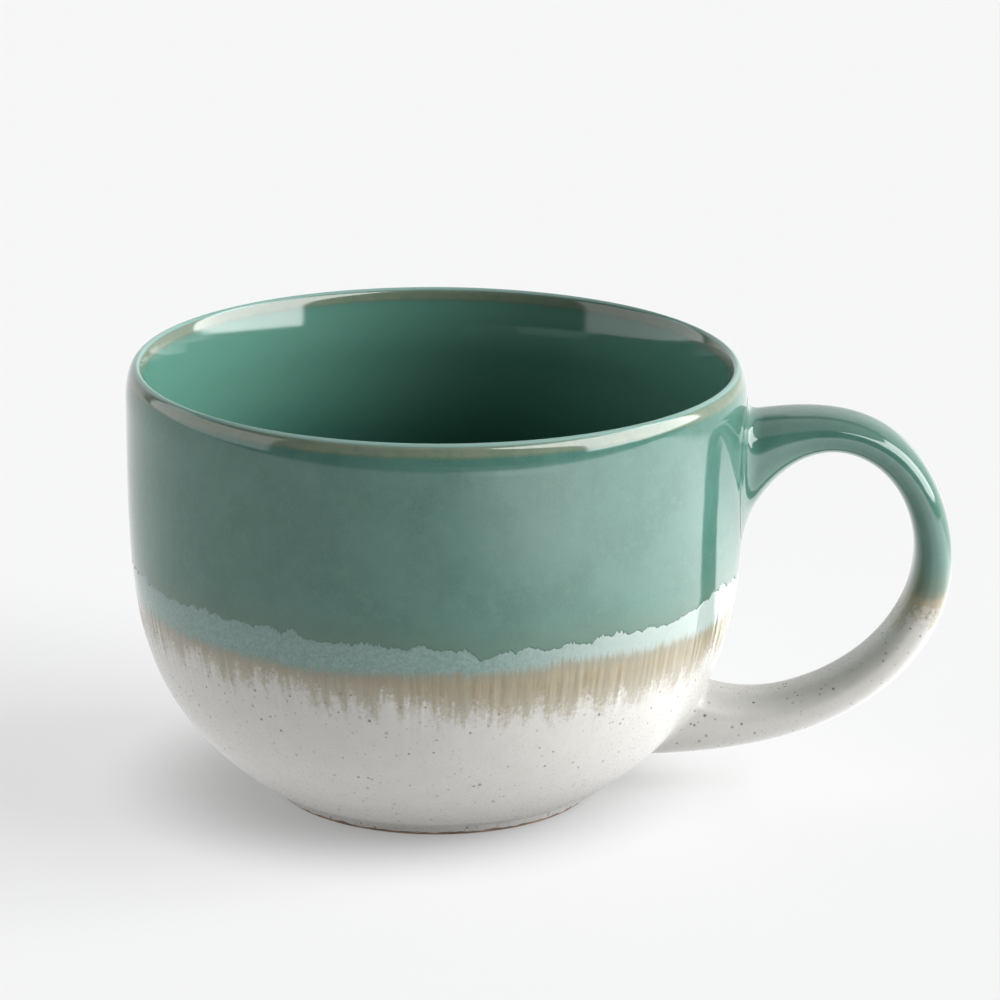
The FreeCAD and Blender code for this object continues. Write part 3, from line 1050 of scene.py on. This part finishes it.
def build_studio():
    """Softboxes in the surroundings: a key on the right, a fill on the left, a white wall behind."""
    world = bpy.data.worlds.new("studio")
    bpy.context.scene.world = world
    world.use_nodes = True
    tree = world.node_tree
    tree.nodes.clear()
    bench = Bench(tree)
    parts = bench.node("SeparateXYZ", {0: bench.node("TexCoord").outputs["Generated"]}).outputs
    turned = bench.math("ARCTAN2", parts[0], bench.times(parts[1], -1.0))
    azimuth = bench.math("DEGREES", turned)
    elevation = bench.math("DEGREES", bench.math("ARCSINE", parts[2]))

    def panel(from_azimuth, to_azimuth, from_elevation, to_elevation, soft, lean=0.0):
        reach_back = bench.add(azimuth, bench.step(elevation, 16.0, 46.0, 0.0, lean))
        sides = bench.math(
            "MULTIPLY",
            bench.step(reach_back, from_azimuth - soft, from_azimuth + soft),
            bench.step(azimuth, to_azimuth - soft, to_azimuth + soft, 1.0, 0.0),
        )
        ends = bench.math(
            "MULTIPLY",
            bench.step(elevation, from_elevation - soft, from_elevation + soft),
            bench.step(elevation, to_elevation - soft, to_elevation + soft, 1.0, 0.0),
        )
        return bench.times(sides, ends)

    right_wall = bench.times(
        bench.step(azimuth, key_sides[1], 126.0, 1.25, 1.0), bench.step(azimuth, 100.0, 108.0)
    )
    left_wall = bench.step(azimuth, -140.0, fill_sides[0], 1.0, 0.0)
    behind = bench.math("MAXIMUM", right_wall, left_wall)
    behind = bench.times(behind, bench.step(elevation, 24.0, 44.0, 1.0, 0.0))
    beside_key = bench.times(
        bench.step(azimuth, 110.0, 140.0), bench.step(elevation, 6.0, 22.0, 0.0, 1.6)
    )
    behind = bench.times(behind, bench.add(beside_key, 1.0))

    def surroundings(overhead, key_top, key_lean, key_strength, fill_strength):
        key = panel(*key_sides, key_bottom, key_top, 1.2, key_lean)
        fill = panel(*fill_sides, 0.0, fill_top, 2.0)
        colour = bench.mix(bench.step(elevation, 40.0, 58.0), room_dark, overhead)
        for mask, light, strength in (
            (behind, wall_light, 1.0), (key, key_light, key_strength), (fill, fill_light, fill_strength)
        ):
            shown = [shade * strength for shade in light[:3]] + [1.0]
            colour = bench.mix(1.0, colour, bench.mix(mask, (0, 0, 0, 1), shown), "ADD")
        return colour

    mirrored = surroundings(overhead_mirrored, 46.0, 34.0, 1.0, 1.3)
    bounced = surroundings(overhead_bounced, 44.0, 0.0, 0.90, 1.2)
    path = bench.node("LightPath").outputs
    colour = bench.mix(path["Is Glossy Ray"], bounced, mirrored)
    colour = bench.mix(path["Is Camera Ray"], colour, (paper, paper, paper, 1))
    background = bench.node("Background", {"Color": colour, "Strength": 1.0})
    bench.node("OutputWorld", {"Surface": background.outputs[0]})


floor_albedo = 0.33
floor_even = 0.585
room_dark = (0.03, 0.03, 0.03, 1)
overhead_mirrored = (1.02, 1.04, 1.05, 1)
overhead_bounced = (0.35, 0.35, 0.35, 1)
wall_light = (0.95, 0.95, 0.95, 1)
key_light = (9.8, 9.9, 10.0, 1)
key_sides = (57.0, 113.0)      # degrees round from the front, rightwards
key_bottom = 6.0
fill_light = (1.45, 1.48, 1.5, 1)
fill_sides = (-128.0, -62.0)
fill_top = 34.0
build_floor()
build_studio()

# ---- Camera ----------------------------------------------------------------------------------------
aim = Vector((11.556 * MM, 0.0, 53.88 * MM))
camera_distance = 861.1 * MM
camera_elevation = math.radians(16.762)
camera_roll = math.radians(0.439)
focal_length = 170.6
sensor_width = 36.0

camera_data = bpy.data.cameras.new("camera")
camera_data.lens = focal_length
camera_data.sensor_width = sensor_width
camera = bpy.data.objects.new("camera", camera_data)
bpy.context.scene.collection.objects.link(camera)
back = Vector((0.0, -math.cos(camera_elevation), math.sin(camera_elevation)))
level_right = Vector((1.0, 0.0, 0.0))
level_up = back.cross(level_right)
right = level_right * math.cos(camera_roll) + level_up * math.sin(camera_roll)
up = back.cross(right)
facing = Matrix((right, up, back)).transposed().to_4x4()
camera.matrix_world = Matrix.Translation(aim + back * camera_distance) @ facing
bpy.context.scene.camera = camera
bpy.context.scene.view_settings.view_transform = "Standard"
